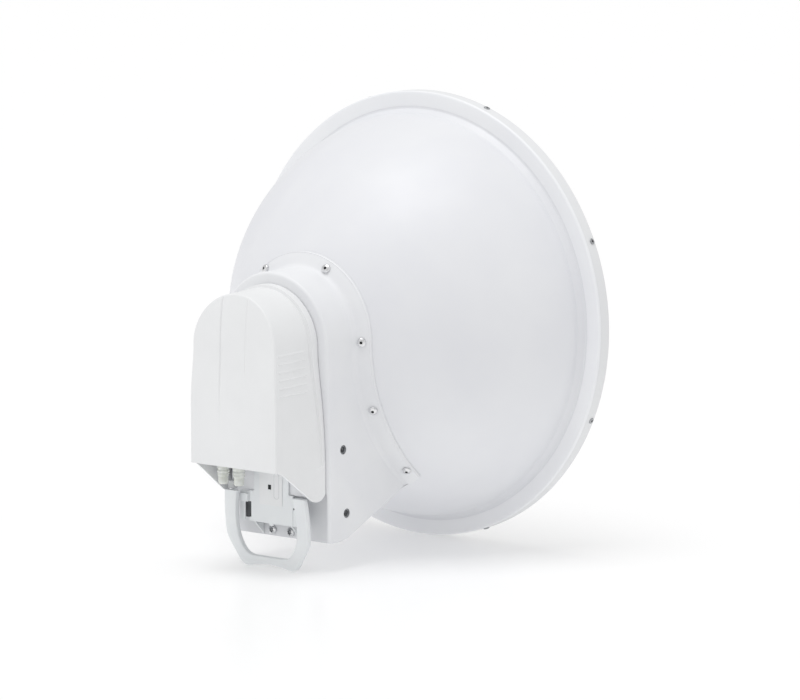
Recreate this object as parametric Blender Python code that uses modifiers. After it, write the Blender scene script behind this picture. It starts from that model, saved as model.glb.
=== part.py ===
"""A 650 mm point-to-point dish antenna, with its radio unit under a cover at the back.

The model is laid out about the dish's own axis, with all lengths in metres:
+Y is the way the dish looks, +X is to the right of someone who looks along it, +Z is up,
and the zero point is the centre of the rim's front edge.
Every piece hangs on one empty, which brings the right-hand mounting face to the world's origin.
"""
import math

import bmesh
import bpy
import numpy as np
from mathutils import Matrix, Vector

# Fit and finish
GAP = 0.0003                 # clearance between two pieces that touch
TURN_STEPS = 64              # facets round the dish

# Rim and radome
RIM_RADIUS = 0.3250          # half of the 650 mm dish
RIM_DEPTH = 0.0250           # front edge of the rim to the back of its flange
RIM_FLANGE_THICKNESS = 0.0040
RIM_EDGE_ROUND = 0.0030
RADOME_SKIN = 0.0040
RADOME_RISE = 0.0120         # how far the middle of the radome stands out
COLLAR_RADIUS = RIM_RADIUS - RADOME_SKIN - GAP
COLLAR_THICKNESS = 0.0040
COLLAR_FRONT = -0.0060

# Bowl of the dish: a superellipse of revolution
BOWL_RADIUS = 0.2957
BOWL_DEPTH = 0.3134
BOWL_BASE = -0.0100          # where the superellipse would meet the rim
BOWL_POWER_ACROSS = 1.67
BOWL_POWER_DEEP = 1.84
BOWL_SKIN = 0.0030
BOWL_FILLET = 0.0100         # between the bowl and the flange
FILLET_START = -0.0420

# Housing behind the dish
HOUSING_HALF_WIDTH = 0.0980  # also the radius of its arched top
SIDE_INSET = 0.0040          # the side walls draw in by this much below the axis,
SIDE_INSET_DEPTH = 0.1400    # over this much height, and run straight from there down
HOUSING_BACK = -0.3580       # back rim at the height of the axis
BACK_LEAN = -0.0300          # slope of the back rim over the arch
BACK_RETREAT = 0.0110        # its lower part lies this much nearer to the dish,
BACK_RETREAT_DEPTH = 0.1650  # from this far below the axis
HOUSING_WALL = 0.0040
HOUSING_BACK_ROUND = 0.0050
BOTTOM_RISE = (0.4575, -0.3150, -0.2832)     # slope of the lower edge, and a (y, z) on it
BOTTOM_HEEL = (-0.2100, -0.3360, -0.2850)    # the same for the short heel at the back
BOTTOM_SOFTENING = 0.0040
FLOOR_THICKNESS = 0.0040
MOUTH_HEIGHTS = (-0.2150, -0.2080, -0.1500, 0.0)
MOUTH_DEPTHS = (0.0055, 0.0095, 0.0095, 0.0220)      # width of the back rim at each
FLANGE_REACH = 0.1195        # outer edge of the flange along the sides, from the middle
FLANGE_THICKNESS = 0.0030
FLANGE_FILLET = 0.0040
FLANGE_LIFT = 0.0140         # its lower corners are rounded off by this much
BACK_PLATE_FACE = -0.3400
BACK_PLATE_THICKNESS = 0.0050
BACK_PLATE_BOTTOM = -0.2838

# Bolted faces at the sides, where the mast bracket goes
BOLT_WALL = HOUSING_HALF_WIDTH - SIDE_INSET
BOLT_HOLE_RADIUS = 0.0068
BOLT_HOLE_DEPTH = 0.0120
BOLT_BOSS_RADIUS = 0.0120
BOLT_HOLES = ((-0.3175, -0.1517), (-0.3101, -0.2435))     # (y, z) of each
INSERT_BORE_RADIUS = 0.0040
INSERT_LENGTH = 0.0080
MOUNT_POINT = (BOLT_WALL, -0.3138, -0.1976)               # midway between the two holes

# Radio cover
COVER_FACE = -0.4445         # at the height of the axis
COVER_CROWN = 0.0075         # the face falls back by this much at the top of the arch,
COVER_BULGE = 0.0025         # and stands out by this much
COVER_BULGE_DEPTH = 0.0700   # from this far below the axis
COVER_RADIUS = 0.0755        # of the face's arch
COVER_WIDENING = 0.0035      # the face's half width grows by this much
COVER_WIDENING_DEPTH = 0.0900
COVER_SPREAD = (0.0320, 0.0580)      # outward slope of the sides, at the axis and below
COVER_SKIN = 0.0030
COVER_EDGE_ROUND = 0.0040
LIP_STEP = (0.0040, 0.0014)          # height and width of the lip, at the axis and below
LIP_WIDTH = (0.0150, 0.0070)
LIP_SHARE = 0.79             # the lip ends at this share of the way down
SIDE_EDGE = ((-0.4470, -0.1705), (-0.4410, -0.1710), (-0.4370, -0.1725), (-0.4300, -0.1766),
             (-0.3745, -0.2181))     # lower edge of each side, down to its round lug
LUG_CENTRE = (-0.3643, -0.2045)
LUG_RADIUS = 0.0170
LUG_START = -0.3690
LUG_SPREAD = 0.1050

# Radio unit and what shows below the cover
BULKHEAD_HALF_WIDTH = 0.0715
BULKHEAD_Z = (-0.1685, -0.1640)
BULKHEAD_Y = (-0.4250, -0.3655)
RADIO_SIZE = (0.0820, 0.0480, 0.2240)
TONGUE_HALF_WIDTH = 0.0320
CARRIER_HALF_WIDTH = 0.0410
CARRIER_FACE = -0.3645
CARRIER_THICKNESS = 0.0030
CARRIER_TOP = 0.0500
CARRIER_SHOULDER = -0.2175
CARRIER_BOTTOM = -0.2615
CARRIER_TAB_RADIUS = 0.0035
CARRIER_RIB = 0.0020
BASE_HALF_WIDTH = 0.0755
BASE_TOP = -0.1850
LABEL_HALF_WIDTH = 0.0210
LABEL_Z = (-0.2350, -0.1700)
LABEL_THICKNESS = 0.0018
BOOT_RADIUS = 0.0085
BOOT_CENTRES = ((-0.0580, -0.4000), (-0.0290, -0.4000))
BOOT_BOTTOM = -0.2050
PORT_TAB_SIZE = (0.0100, 0.0100, 0.0110)
PORT_TAB_CENTRE = (-0.0690, -0.3710, -0.2115)

# Pull handle
HANDLE_FRONT = -0.3772       # at the level below; the handle leans forward as it goes down
HANDLE_LEVEL = -0.2500
HANDLE_LEAN = 0.1000
HANDLE_THICKNESS = 0.0090
HANDLE_TOP = CARRIER_SHOULDER - GAP
HANDLE_EDGE_ROUND = 0.0012
HANDLE_WEB_X = 0.0560        # each arm is joined to the slide by a short web
HANDLE_WEB_Y = (-0.3770, -0.3620)
HANDLE_WEB_Z = (-0.2340, -0.2220)

# Screws
FLANGE_SCREW_RADIUS = 0.0065
FLANGE_SCREW_HEIGHT = 0.0040
FLANGE_SCREW_SEAT = 0.0006   # clears the fillet beside it
FLANGE_SCREW_ARCH = ((0.1068, 0), (0.1068, 66), (0.1110, 128), (0.1068, 180))   # radius, angle
FLANGE_SCREW_LOW = ((0.1077, -0.0988), (0.1105, -0.1928))                       # x, z
RIM_SCREW_RADIUS = 0.0045
RIM_SCREW_HEIGHT = 0.0028
RIM_SCREW_Y = -0.0085
RIM_SCREW_ANGLES = (23.4, 70.5, 109.5, 156.6, 203.4, 250.5, 289.5, 336.6)
PLATE_SCREW_RADIUS = 0.0065
PLATE_SCREW_HEIGHT = 0.0045
PLATE_SCREW_X = 0.0167
PLATE_SCREW_Z = -0.2750
RECESS_SHARE = 0.42          # of a screw head's radius
RECESS_DEPTH = 0.55          # of its height


def bowl_y(radius, out=0.0):
    """Y of the bowl's outer face at a distance from the axis, moved outwards by out."""
    across = BOWL_RADIUS + out
    share = np.clip(np.asarray(radius, float) / across, 0.0, 1.0) ** BOWL_POWER_ACROSS
    return BOWL_BASE - (BOWL_DEPTH + out) * (1.0 - share) ** (1.0 / BOWL_POWER_DEEP)


def bowl_normal(x, z):
    """Outward unit normal of the bowl above the point (x, z)."""
    radius = math.hypot(x, z)
    step = 1e-5
    slope = float(bowl_y(radius + step) - bowl_y(radius - step)) / (2 * step)
    return Vector((slope * x / radius, -1.0, slope * z / radius)).normalized()


def ease(share):
    """Smooth step from 0 to 1."""
    share = np.clip(share, 0.0, 1.0)
    return share * share * (3.0 - 2.0 * share)


def housing_half_width(z):
    """Half width of the housing at a height: its arch's radius, and less below the axis."""
    return HOUSING_HALF_WIDTH - SIDE_INSET * ease(-np.asarray(z, float) / SIDE_INSET_DEPTH)


def housing_back(z):
    """Y of the housing's back rim at a height."""
    z = np.asarray(z, float)
    return HOUSING_BACK + BACK_LEAN * np.maximum(z, 0.0) + BACK_RETREAT * ease(-z / BACK_RETREAT_DEPTH)


def housing_bottom(y):
    """Height of the housing's lower edge: a heel at the back, then a rise to the dish."""
    y = np.asarray(y, float)
    rise, heel = (z + slope * (y - at) for slope, at, z in (BOTTOM_RISE, BOTTOM_HEEL))
    return 0.5 * (rise + heel + np.sqrt((rise - heel) ** 2 + BOTTOM_SOFTENING ** 2))


def how_low(z):
    """0 from the axis up, 1 from the bottom of the cover's face down."""
    return np.clip(np.asarray(z, float) / SIDE_EDGE[0][1], 0.0, 1.0)


def cover_face(z):
    """Y of the cover's slightly crowned face."""
    z = np.asarray(z, float)
    crown = COVER_CROWN * (np.maximum(z, 0.0) / COVER_RADIUS) ** 2
    return COVER_FACE + crown - COVER_BULGE * ease(-z / COVER_BULGE_DEPTH)


def cover_back(z):
    """Y of the cover's back edge, which bears on the housing's back rim."""
    return housing_back(z) - GAP


def lip_start(z):
    """Y at which the lip along the back edge starts."""
    return cover_back(z) - LIP_WIDTH[0] - (LIP_WIDTH[1] - LIP_WIDTH[0]) * how_low(z)


def cover_half_width(y, z):
    """Half width of the cover's side walls, without the lip."""
    spread = COVER_SPREAD[0] + (COVER_SPREAD[1] - COVER_SPREAD[0]) * how_low(z)
    widening = COVER_WIDENING * ease(-np.asarray(z, float) / COVER_WIDENING_DEPTH)
    return COVER_RADIUS + widening + spread * np.maximum(y - cover_face(z), 0.0)


def cover_lip(y, z, share):
    """How far the lip stands out, and below it the round lug."""
    if share < LIP_SHARE:
        step = LIP_STEP[0] + (LIP_STEP[1] - LIP_STEP[0]) * how_low(z)
        return float(step) if y > lip_start(z) + 1e-5 else 0.0
    return LUG_SPREAD * max(float(y) - LUG_START, 0.0)


def cover_bottom(y):
    """Height of the lower edge of the cover's sides: a slant that ends in a round lug."""
    if y <= SIDE_EDGE[-1][0]:
        return float(np.interp(y, *zip(*SIDE_EDGE)))
    return LUG_CENTRE[1] - math.sqrt(max(LUG_RADIUS ** 2 - (y - LUG_CENTRE[0]) ** 2, 0.0))


def clear_scene():
    """Remove every object of the scene and the data they leave behind."""
    for item in list(bpy.data.objects):
        bpy.data.objects.remove(item, do_unlink=True)
    for mesh in list(bpy.data.meshes):
        bpy.data.meshes.remove(mesh)


def make_material(name, colour, roughness, metallic=0.0):
    """A Principled material with one plain colour."""
    material = bpy.data.materials.new(name)
    material.use_nodes = True
    shader = material.node_tree.nodes["Principled BSDF"]
    shader.inputs["Base Color"].default_value = (*colour, 1.0)
    shader.inputs["Roughness"].default_value = roughness
    shader.inputs["Metallic"].default_value = metallic
    material.diffuse_color = (*colour, 1.0)
    return material


def add_part(name, mesh, material, parts, parent):
    """Put a mesh in the scene as one named piece of the antenna."""
    item = bpy.data.objects.new(name, mesh)
    parts.objects.link(item)
    item.parent = parent
    if not mesh.materials:
        mesh.materials.append(material)
    return item


def smooth(mesh, angle=35):
    """Shade a mesh smooth, apart from its sharp edges."""
    mesh.shade_smooth()
    mesh.set_sharp_from_angle(angle=math.radians(angle))


def turned_mesh(name, profile, closed, steps=TURN_STEPS):
    """Turn a profile of (radius, height) points about the local Z axis with a Screw modifier."""
    edges = [(i, i + 1) for i in range(len(profile) - 1)]
    if closed:
        edges.append((len(profile) - 1, 0))
    wire = bpy.data.meshes.new(name)
    wire.from_pydata([(r, 0.0, h) for r, h in profile], edges, [])
    item = bpy.data.objects.new(name, wire)
    bpy.context.scene.collection.objects.link(item)
    screw = item.modifiers.new("turn", "SCREW")
    screw.steps = steps
    screw.render_steps = steps
    screw.use_merge_vertices = True
    screw.merge_threshold = 0.00001
    screw.use_normal_calculate = True
    turned = bpy.data.meshes.new_from_object(item.evaluated_get(bpy.context.evaluated_depsgraph_get()))
    bpy.data.objects.remove(item, do_unlink=True)
    bpy.data.meshes.remove(wire)
    turned.name = name
    shell = bmesh.new()
    shell.from_mesh(turned)
    bmesh.ops.remove_doubles(shell, verts=shell.verts, dist=0.00001)
    bmesh.ops.recalc_face_normals(shell, faces=shell.faces)
    shell.to_mesh(turned)
    shell.free()
    smooth(turned)
    return turned


def thick_sheet_mesh(name, outer, inner, first_column_open=True):
    """Join two grids of points, one on each face of a wall, around their borders.

    With first_column_open False the first column is a seam that the grid folds onto itself,
    so it gets no border.
    """
    rows, columns, _ = outer.shape
    points = np.concatenate([outer.reshape(-1, 3), inner.reshape(-1, 3)])
    front = np.arange(rows * columns).reshape(rows, columns)
    back = front + rows * columns
    faces = []
    for i in range(rows - 1):
        for j in range(columns - 1):
            faces.append((front[i, j], front[i, j + 1], front[i + 1, j + 1], front[i + 1, j]))
            faces.append((back[i, j], back[i + 1, j], back[i + 1, j + 1], back[i, j + 1]))
    for j in range(columns - 1):
        faces.append((front[0, j], back[0, j], back[0, j + 1], front[0, j + 1]))
        faces.append((front[-1, j], front[-1, j + 1], back[-1, j + 1], back[-1, j]))
    for i in range(rows - 1):
        faces.append((front[i, -1], back[i, -1], back[i + 1, -1], front[i + 1, -1]))
        if first_column_open:
            faces.append((front[i, 0], front[i + 1, 0], back[i + 1, 0], back[i, 0]))
    mesh = bpy.data.meshes.new(name)
    mesh.from_pydata(points.tolist(), [], [tuple(int(v) for v in face) for face in faces])
    shell = bmesh.new()
    shell.from_mesh(mesh)
    bmesh.ops.remove_doubles(shell, verts=shell.verts, dist=0.00002)
    bmesh.ops.dissolve_degenerate(shell, edges=shell.edges, dist=0.00001)
    bmesh.ops.recalc_face_normals(shell, faces=shell.faces)
    shell.to_mesh(mesh)
    shell.free()
    smooth(mesh)
    return mesh


def box_mesh(name, low, high, bevel=0.0, segments=2):
    """A box between two corners, with its edges rounded."""
    low, high = Vector(low), Vector(high)
    block = bmesh.new()
    bmesh.ops.create_cube(block, size=1.0)
    bmesh.ops.scale(block, vec=high - low, verts=block.verts)
    bmesh.ops.translate(block, vec=(high + low) / 2, verts=block.verts)
    if bevel:
        bmesh.ops.bevel(block, geom=block.edges[:], offset=bevel, segments=segments,
                        profile=0.5, affect="EDGES")
    mesh = bpy.data.meshes.new(name)
    block.to_mesh(mesh)
    block.free()
    return mesh


def prism_mesh(name, outline, span, along="Y"):
    """A flat outline, made solid between two planes square to one axis.

    The outline holds (x, z) points for a prism along Y and (y, z) points for one along X.
    """
    count = len(outline)
    if along == "Y":
        points = [(x, y, z) for y in span for x, z in outline]
    else:
        points = [(x, y, z) for x in span for y, z in outline]
    faces = [tuple(range(count)), tuple(range(2 * count - 1, count - 1, -1))]
    faces += [(i, (i + 1) % count, (i + 1) % count + count, i + count) for i in range(count)]
    mesh = bpy.data.meshes.new(name)
    mesh.from_pydata(points, [], faces)
    shell = bmesh.new()
    shell.from_mesh(mesh)
    bmesh.ops.recalc_face_normals(shell, faces=shell.faces)
    shell.to_mesh(mesh)
    shell.free()
    return mesh


def arc(centre, radius, start, end, count):
    """Points along an arc, with its angles in degrees."""
    angles = np.radians(np.linspace(start, end, count))
    return [(centre[0] + radius * math.cos(a), centre[1] + radius * math.sin(a)) for a in angles]


def join_meshes(target, tool, operation, cutters):
    """Add a Boolean to a piece; the tool object stays in the cutters collection."""
    cutters.objects.link(tool)
    tool.hide_render = True
    tool.hide_set(True)
    tool.display_type = "WIRE"
    tool.parent = target.parent
    boolean = target.modifiers.new(tool.name, "BOOLEAN")
    boolean.operation = operation
    boolean.solver = "EXACT"
    boolean.object = tool


def turn_to(direction):
    """Rotation that brings the local Z axis to a direction."""
    return Vector(direction).to_track_quat("Z", "Y").to_matrix().to_4x4()


def add_reflector(parts, parent, material):
    """The bowl as one turned shell, and round it the ring that the radome slides over."""
    flange_back = -RIM_DEPTH
    flange_front = flange_back + RIM_FLANGE_THICKNESS
    radii = np.array([0.0, 0.045, 0.085, 0.120, 0.150, 0.178, 0.204, 0.228, 0.248, 0.264, 0.277, 0.286, 0.291])
    outer = [(float(r), float(bowl_y(r))) for r in radii]
    foot = BOWL_RADIUS * (1 - ((BOWL_BASE - FILLET_START) / BOWL_DEPTH) ** BOWL_POWER_DEEP) ** (
        1 / BOWL_POWER_ACROSS)
    seam = foot + BOWL_FILLET
    outer.append((foot, FILLET_START))
    outer += arc((seam, flange_back - BOWL_FILLET), BOWL_FILLET, 180, 90, 4)
    outer += [(seam, flange_front), (foot - BOWL_SKIN, FILLET_START)]
    inner = [(float(r) * (1 - BOWL_SKIN / BOWL_RADIUS), float(bowl_y(r)) + BOWL_SKIN * 1.1)
             for r in radii[::-2]]
    ring = [(seam + GAP, flange_back)]
    ring += arc((RIM_RADIUS - RIM_EDGE_ROUND, flange_back + RIM_EDGE_ROUND), RIM_EDGE_ROUND, -90, 0, 3)
    ring += [
        (RIM_RADIUS, flange_front),
        (COLLAR_RADIUS, flange_front),
        (COLLAR_RADIUS, COLLAR_FRONT),
        (COLLAR_RADIUS - COLLAR_THICKNESS, COLLAR_FRONT),
        (COLLAR_RADIUS - COLLAR_THICKNESS, flange_front),
        (seam + GAP, flange_front),
    ]
    for name, profile, closed in (("reflector_shell", outer + inner, False), ("rim_ring", ring, True)):
        mesh = turned_mesh(name, profile, closed)
        mesh.transform(Matrix.Rotation(-math.pi / 2, 4, "X"))
        add_part(name, mesh, material, parts, parent)


def add_radome(parts, parent, material):
    """A shallow domed disc with a skirt that covers the collar."""
    corner = 0.0040
    skirt_back = -RIM_DEPTH + RIM_FLANGE_THICKNESS + GAP
    radii = np.linspace(0.0, RIM_RADIUS - corner, 7)

    def dome(radius):
        return RADOME_RISE * (1.0 - (radius / RIM_RADIUS) ** 2)

    outer = [(float(r), float(dome(r))) for r in radii]
    outer += arc((RIM_RADIUS - corner, dome(RIM_RADIUS - corner) - corner), corner, 90, 0, 4)[1:]
    skirt = [(RIM_RADIUS, skirt_back), (RIM_RADIUS - RADOME_SKIN, skirt_back),
             (RIM_RADIUS - RADOME_SKIN, -RADOME_SKIN)]
    inner = [(float(r), float(dome(r)) - RADOME_SKIN) for r in radii[-2::-1]]
    mesh = turned_mesh("radome", outer + skirt + inner, closed=False)
    mesh.transform(Matrix.Rotation(-math.pi / 2, 4, "X"))
    add_part("radome", mesh, material, parts, parent)


def screw_mesh(name, radius, height):
    """A button head with a round recess: flat below, domed above."""
    lip = height * 0.3
    dome = [(radius * math.cos(a), lip + (height - lip) * math.sin(a))
            for a in np.radians((0, 35, 65))]
    recess = radius * RECESS_SHARE
    profile = [(0.0, 0.0), (radius, 0.0)] + dome
    profile += [(recess, height), (recess * 0.9, height * (1 - RECESS_DEPTH)),
                (0.0, height * (1 - RECESS_DEPTH))]
    return turned_mesh(name, profile, closed=False, steps=12)


def add_screws(parts, parent, material):
    """Round the rim, along the housing's flange and in the plate below the radio."""
    rim = screw_mesh("rim_screw", RIM_SCREW_RADIUS, RIM_SCREW_HEIGHT)
    for number, degrees in enumerate(RIM_SCREW_ANGLES, 1):
        angle = math.radians(degrees)
        out = Vector((math.cos(angle), 0.0, math.sin(angle)))
        item = add_part(f"rim_screw_{number}", rim, material, parts, parent)
        place = out * (RIM_RADIUS + GAP) + Vector((0.0, RIM_SCREW_Y, 0.0))
        item.matrix_local = Matrix.Translation(place) @ turn_to(out)

    spots = [(r * math.cos(math.radians(a)), r * math.sin(math.radians(a))) for r, a in FLANGE_SCREW_ARCH]
    spots += [(side * x, z) for x, z in FLANGE_SCREW_LOW for side in (1, -1)]
    head = screw_mesh("flange_screw", FLANGE_SCREW_RADIUS, FLANGE_SCREW_HEIGHT)
    for number, (x, z) in enumerate(spots, 1):
        out = bowl_normal(x, z)
        item = add_part(f"flange_screw_{number}", head, material, parts, parent)
        place = Vector((x, float(bowl_y(math.hypot(x, z))), z))
        place += out * (GAP + FLANGE_THICKNESS + FLANGE_SCREW_SEAT)
        item.matrix_local = Matrix.Translation(place) @ turn_to(out)

    plate = screw_mesh("plate_screw", PLATE_SCREW_RADIUS, PLATE_SCREW_HEIGHT)
    for name, side in (("plate_screw_right", 1), ("plate_screw_left", -1)):
        item = add_part(name, plate, material, parts, parent)
        place = Vector((side * PLATE_SCREW_X, BACK_PLATE_FACE - GAP, PLATE_SCREW_Z))
        item.matrix_local = Matrix.Translation(place) @ turn_to((0, -1, 0))


def housing_rows():
    """Stations along the housing's outline: left side, arched top, right side.

    Each is (side, share): on an arch side is 0 and share is the angle, on a flat side
    share runs from 0 at the top to 1 at the bottom.
    """
    down = np.linspace(1.0, 0.0, 15)
    rows = [(-1, float(s)) for s in down]
    rows += [(0, float(a)) for a in np.radians(np.linspace(180, 0, 25))[1:-1]]
    rows += [(1, float(s)) for s in down[::-1]]
    return rows


def housing_grid(columns):
    """Carry a section of (offset, y rule, lift) columns along the housing's outline.

    The offset is measured outwards from the side wall, and the y rule gives y at a point
    (x, z). On the sides the height depends on y through the slanted lower edge, so the two
    are found together by a few rounds of substitution. The lift raises the lower corner.
    """
    rows = housing_rows()
    grid = np.zeros((len(rows), len(columns), 3))
    for i, (side, share) in enumerate(rows):
        for j, (offset, rule, lift) in enumerate(columns):
            if side == 0:
                reach = HOUSING_HALF_WIDTH + offset(0.0)
                x, z = reach * math.cos(share), reach * math.sin(share)
                y = rule(x, z)
            else:
                y = HOUSING_BACK
                for _ in range(40):
                    z = share * (float(housing_bottom(y)) + lift)
                    x = side * (float(housing_half_width(z)) + offset(z))
                    y = rule(x, z)
            grid[i, j] = (x, y, z)
    return grid


def on_bowl(out):
    """Rule for a column that lies on the bowl, raised by out along the bowl's normal."""
    def rule(x, z):
        radius = math.hypot(x, z)
        lean = abs(bowl_normal(x, z).y)
        return float(bowl_y(radius)) - out / lean
    return rule


def mouth(z):
    """Inner edge of the housing's back rim."""
    return -float(np.interp(z, MOUTH_HEIGHTS, MOUTH_DEPTHS))


def add_housing(parts, parent, cutters, material):
    """An arched, open-backed shell whose flange hugs the bowl."""
    def at(value):
        return lambda z: value

    def back(depth):
        return lambda x, z: float(housing_back(z)) + depth

    def flange(share):
        return lambda z: share * (FLANGE_REACH - float(housing_half_width(z)))

    r = HOUSING_BACK_ROUND
    top = on_bowl(GAP + FLANGE_THICKNESS)
    bed = on_bowl(GAP)
    f = FLANGE_FILLET

    def fillet(angle):
        drop = f * (1 - math.sin(angle))
        return at(f * (1 - math.cos(angle))), (lambda x, z: top(x, z) - drop), 0.0

    outer = [(mouth, back(0.0), 0.0), (at(-r), back(0.0), 0.0)]
    outer += [(at(-r + r * math.sin(a)), back(r * (1 - math.cos(a))), 0.0) for a in np.radians((30, 60))]
    outer += [(at(0.0), back(r), 0.0)]
    outer += [fillet(math.radians(a)) for a in (0, 30, 60)]
    outer += [(flange(s), top, FLANGE_LIFT * s * s) for s in (0.3, 0.6, 0.85, 0.96)]
    outer += [(flange(1.0), on_bowl(GAP + 0.0022), FLANGE_LIFT)]
    w = HOUSING_WALL
    inner = [(mouth, back(w), 0.0), (at(-r), back(w), 0.0), (at(-r + 0.4 * (r - w)), back(0.0046), 0.0)]
    inner += [(at(-r + 0.8 * (r - w)), back(0.0055), 0.0), (at(-w), back(0.0062), 0.0), (at(-w), bed, 0.0)]
    inner += [(flange(s), bed, FLANGE_LIFT * s * s) for s in (0.0, 0.15, 0.3, 0.6, 0.85, 1.0)]
    inner.insert(5, (at(-w), back(0.0300), 0.0))
    mesh = thick_sheet_mesh("housing_shell", housing_grid(outer), housing_grid(inner))
    shell = add_part("housing_shell", mesh, material, parts, parent)

    # Bosses behind the side walls, and the bolt holes bored into them
    for side, word in ((1, "right"), (-1, "left")):
        for number, (y, z) in enumerate(BOLT_HOLES, 1):
            for kind, radius, start, end in (("boss", BOLT_BOSS_RADIUS, 0.0020, 0.0160),
                                             ("bore", BOLT_HOLE_RADIUS, -0.0020, BOLT_HOLE_DEPTH)):
                rod = bmesh.new()
                bmesh.ops.create_cone(rod, cap_ends=True, segments=24, radius1=radius,
                                      radius2=radius, depth=end - start)
                tool_mesh = bpy.data.meshes.new(kind)
                rod.to_mesh(tool_mesh)
                rod.free()
                tool = bpy.data.objects.new(f"{kind}_{word}_{number}", tool_mesh)
                middle = side * (BOLT_WALL - (start + end) / 2)
                tool.matrix_local = Matrix.Translation((middle, y, z)) @ Matrix.Rotation(math.pi / 2, 4, "Y")
                join_meshes(shell, tool, "UNION" if kind == "boss" else "DIFFERENCE", cutters)


def add_inserts(parts, parent, material):
    """A threaded metal bush at the bottom of each side hole."""
    outer = BOLT_HOLE_RADIUS - GAP
    profile = [(outer, 0.0), (outer, INSERT_LENGTH), (INSERT_BORE_RADIUS, INSERT_LENGTH),
               (INSERT_BORE_RADIUS, 0.0)]
    bush = turned_mesh("side_insert", profile, closed=True, steps=24)
    deep = BOLT_WALL - BOLT_HOLE_DEPTH + GAP
    for side, word in ((1, "right"), (-1, "left")):
        for number, (y, z) in enumerate(BOLT_HOLES, 1):
            item = add_part(f"side_insert_{word}_{number}", bush, material, parts, parent)
            item.matrix_local = Matrix.Translation((side * deep, y, z)) @ turn_to((side, 0, 0))


def add_floor(parts, parent, material):
    """The slanted underside of the housing, from its back edge to the bowl."""
    reach = BOLT_WALL - HOUSING_WALL - GAP
    outer, inner = [], []
    for x in np.linspace(-reach, reach, 19):
        for rows, lift in ((outer, 0.0010), (inner, 0.0010 + FLOOR_THICKNESS)):
            y_front = -0.25
            for _ in range(60):
                z_front = float(housing_bottom(y_front)) + lift
                y_front = float(bowl_y(math.hypot(x, z_front))) - 2 * GAP
            line = []
            for share in np.linspace(0.0, 1.0, 9):
                y = BACK_PLATE_FACE + BACK_PLATE_THICKNESS + GAP
                y += share * (y_front - y)
                line.append((x, y, float(housing_bottom(y)) + lift))
            rows.append(line)
    mesh = thick_sheet_mesh("housing_floor", np.array(outer), np.array(inner))
    add_part("housing_floor", mesh, material, parts, parent)


def add_back_plate(parts, parent, material):
    """The plate that closes the housing's back, behind the cover."""
    edge = HOUSING_WALL + GAP
    heights = np.linspace(0.0, -SIDE_INSET_DEPTH, 8)[1:].tolist() + [BACK_PLATE_BOTTOM]
    side = [(float(housing_half_width(z)) - edge, z) for z in heights]
    outline = arc((0.0, 0.0), HOUSING_HALF_WIDTH - edge, 0, 180, 31)
    outline += [(-x, z) for x, z in side] + side[::-1]
    mesh = prism_mesh("back_plate", outline, (BACK_PLATE_FACE, BACK_PLATE_FACE + BACK_PLATE_THICKNESS))
    add_part("back_plate", mesh, material, parts, parent)


def cover_grid(inset):
    """One face of the cover: rows follow its outline, columns run from the middle of the
    face over the rounded edge and back along the side wall to the lip.

    Each column behind the edge is named by its y on the lower edge, and keeps its share of
    the way from the face to the lip, or from the lip to the back edge, at every height.
    """
    r = max(COVER_EDGE_ROUND - inset, 0.0010)
    low = SIDE_EDGE[0][1]
    start, lip, end = (float(rule(low)) for rule in (cover_face, lip_start, cover_back))
    start += inset + r
    columns = [("face", share) for share in (0.0, 0.35, 0.7, 1.0)]
    columns += [("round", a) for a in np.radians((30, 60, 90))]
    columns += [("side", y) for y in (-0.4360, -0.4260, -0.4140, -0.4020, -0.3900, -0.3800)]
    columns += [("side", y) for y in (SIDE_EDGE[-1][0], -0.3700, LUG_CENTRE[0], -0.3590, lip)]
    columns += [("side", lip + u * (end - lip)) for u in (0.04, 0.35, 0.7, 1.0)]
    down = (1.0, 0.9, 0.8, 0.785, 0.68, 0.57, 0.46, 0.35, 0.24, 0.12, 0.0)
    rows = [(-1, s) for s in down]
    rows += [(0, float(a)) for a in np.radians(np.linspace(180, 0, 25))[1:-1]]
    rows += [(1, s) for s in down[::-1]]

    grid = np.zeros((len(rows), len(columns), 3))
    for i, (side, share) in enumerate(rows):
        for j, (kind, value) in enumerate(columns):
            foot = cover_bottom(value) if kind == "side" else low
            z = 0.0 if side == 0 else share * foot
            for _ in range(6):
                face = float(cover_face(z))
                y, back = face + inset, 0.0
                if kind == "round":
                    y += r * (1 - math.cos(value))
                    back = r * (1 - math.sin(value))
                elif kind == "side" and value <= lip:
                    y = face + inset + r
                    y += (value - start) / (lip - start) * (float(lip_start(z)) - y)
                elif kind == "side":
                    y = float(lip_start(z))
                    y += (value - lip) / (end - lip) * (float(cover_back(z)) - y)
                width = float(cover_half_width(y, z)) + cover_lip(y, z, share if side else 0.0)
                width -= inset + (r if kind == "face" else back)
                if kind == "face":
                    width *= value
                if side == 0:
                    z = width * math.sin(share)
            grid[i, j] = (width * (side or math.cos(share)), y, z)
    return grid


def add_cover(parts, parent, material):
    """The tombstone-shaped cover over the radio, open below and at the back."""
    mesh = thick_sheet_mesh("radio_cover", cover_grid(0.0), cover_grid(COVER_SKIN), first_column_open=False)
    add_part("radio_cover", mesh, material, parts, parent)


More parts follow.
